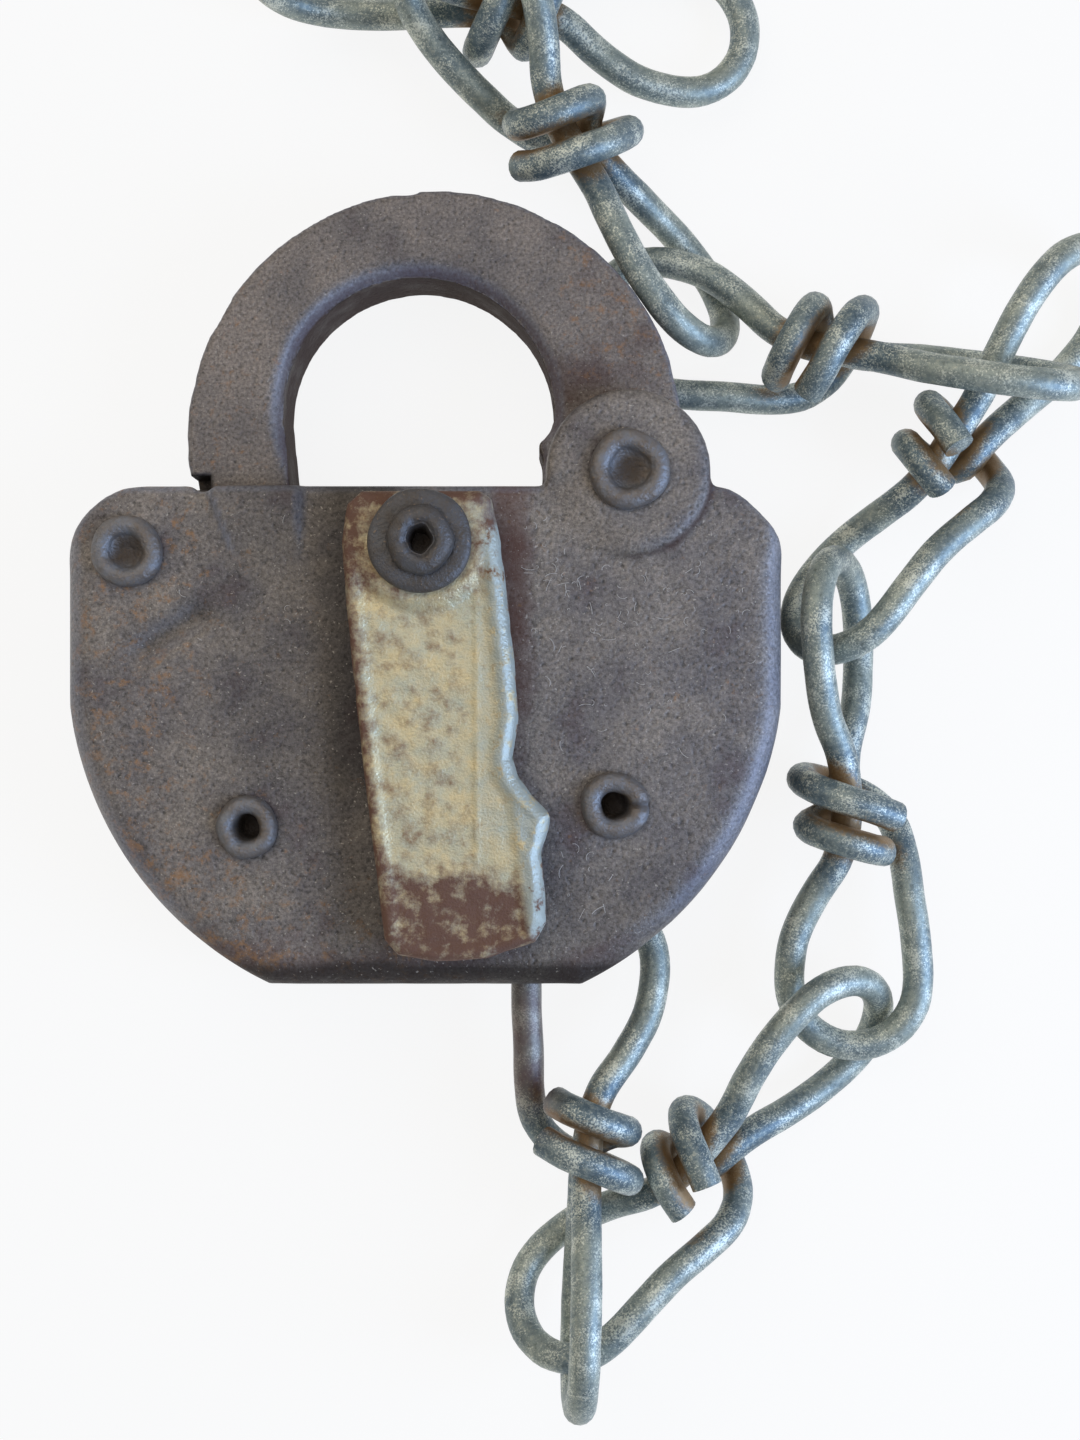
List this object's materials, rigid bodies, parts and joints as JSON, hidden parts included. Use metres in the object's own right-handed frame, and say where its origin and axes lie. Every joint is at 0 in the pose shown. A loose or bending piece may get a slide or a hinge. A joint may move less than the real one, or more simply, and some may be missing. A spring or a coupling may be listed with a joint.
{
  "type": "padlock with chain",
  "caption": "Rusty riveted padlock with a flat shackle, a swinging keyhole cover and a length of knotted wire chain, lying on its back.",
  "frame": {"origin": "centre of the round case at its back face", "axes": "+X to the lock's right, +Y towards the shackle, +Z out of the front face"},
  "size_m": [0.1102, 0.1546, 0.0265],
  "materials": {
    "case_steel": "rough",
    "shackle_steel": "rough",
    "rivet_steel": "rough",
    "cover_metal": "matte",
    "works_steel": "satin",
    "zinc_wire": "matte"
  },
  "bodies": {
    "case": {"front_shell": "case_steel", "back_plate": "case_steel", "rivet_top_left": "rivet_steel", "rivet_bottom_left": "rivet_steel", "rivet_bottom_right": "rivet_steel", "shackle_rivet": "rivet_steel", "heel_washer_front": "works_steel", "heel_washer_back": "works_steel", "cover_rivet": "rivet_steel", "cover_washer": "rivet_steel", "dog_spring": "works_steel", "tumbler_spring": "works_steel", "key_post": "works_steel", "chain_post": "works_steel"},
    "shackle": {"shackle": "shackle_steel"},
    "cover": {"keyhole_cover": "cover_metal"},
    "dog": {"lock_dog": "works_steel"},
    "lever": {"tumbler_lever": "works_steel"},
    "link_1": {"chain_link_1": "zinc_wire"},
    "link_2": {"chain_link_2": "zinc_wire"},
    "link_3": {"chain_link_3": "zinc_wire"},
    "link_4": {"chain_link_4": "zinc_wire"},
    "link_5": {"chain_link_5": "zinc_wire"},
    "link_6": {"chain_link_6": "zinc_wire"},
    "link_7": {"chain_link_7": "zinc_wire"}
  },
  "joints": [
    {"name": "shackle_hinge", "type": "hinge", "parent": "case", "child": "shackle", "pos_m": [0.02045, 0.0189, 0.0094], "axis": [0, 0, -1], "range_deg": [0, 70]},
    {"name": "cover_swing", "type": "hinge", "parent": "case", "child": "cover", "pos_m": [0, 0.0113, 0.0212], "axis": [0, 0, 1], "range_deg": [-85, 60]},
    {"name": "dog_pivot", "type": "hinge", "parent": "case", "child": "dog", "pos_m": [-0.0176, -0.0167, 0.0085], "axis": [0, 0, 1], "range_deg": [0, 5.5]},
    {"name": "lever_pivot", "type": "hinge", "parent": "case", "child": "lever", "pos_m": [0.0191, -0.0145, 0.0062], "axis": [0, 0, -1], "range_deg": [0, 10]},
    {"name": "link_1_swing", "type": "hinge", "parent": "case", "child": "link_1", "pos_m": [0.0172, -0.0287, 0.008], "axis": [0, 0, -1], "range_deg": [0, 6]},
    {"name": "link_2_swing", "type": "hinge", "parent": "link_1", "child": "link_2", "pos_m": [0.0161, -0.0597, 0.008], "axis": [0, 0, -1], "range_deg": [0, 15]},
    {"name": "link_3_swing", "type": "hinge", "parent": "link_2", "child": "link_3", "pos_m": [0.047, -0.0345, 0.008], "axis": [0, 0, -1], "range_deg": [0, 20]},
    {"name": "link_4_swing", "type": "hinge", "parent": "link_3", "child": "link_4", "pos_m": [0.0413, 0.0062, 0.008], "axis": [0, 0, -1], "range_deg": [0, 10]},
    {"name": "link_5_swing", "type": "hinge", "parent": "link_4", "child": "link_5", "pos_m": [0.0669, 0.0285, 0.008], "axis": [0, 0, -1], "range_deg": [0, 70]},
    {"name": "link_6_swing", "type": "hinge", "parent": "link_5", "child": "link_6", "pos_m": [0.0308, 0.0345, 0.008], "axis": [0, 0, -1], "range_deg": [0, 30]},
    {"name": "link_7_swing", "type": "hinge", "parent": "link_6", "child": "link_7", "pos_m": [0.0092, 0.07, 0.008], "axis": [0, 0, -1], "range_deg": [-15, 0]}
  ],
  "couplings": [
    {"joint": "link_5_swing", "follows": "shackle_hinge", "ratio": 1}
  ]
}
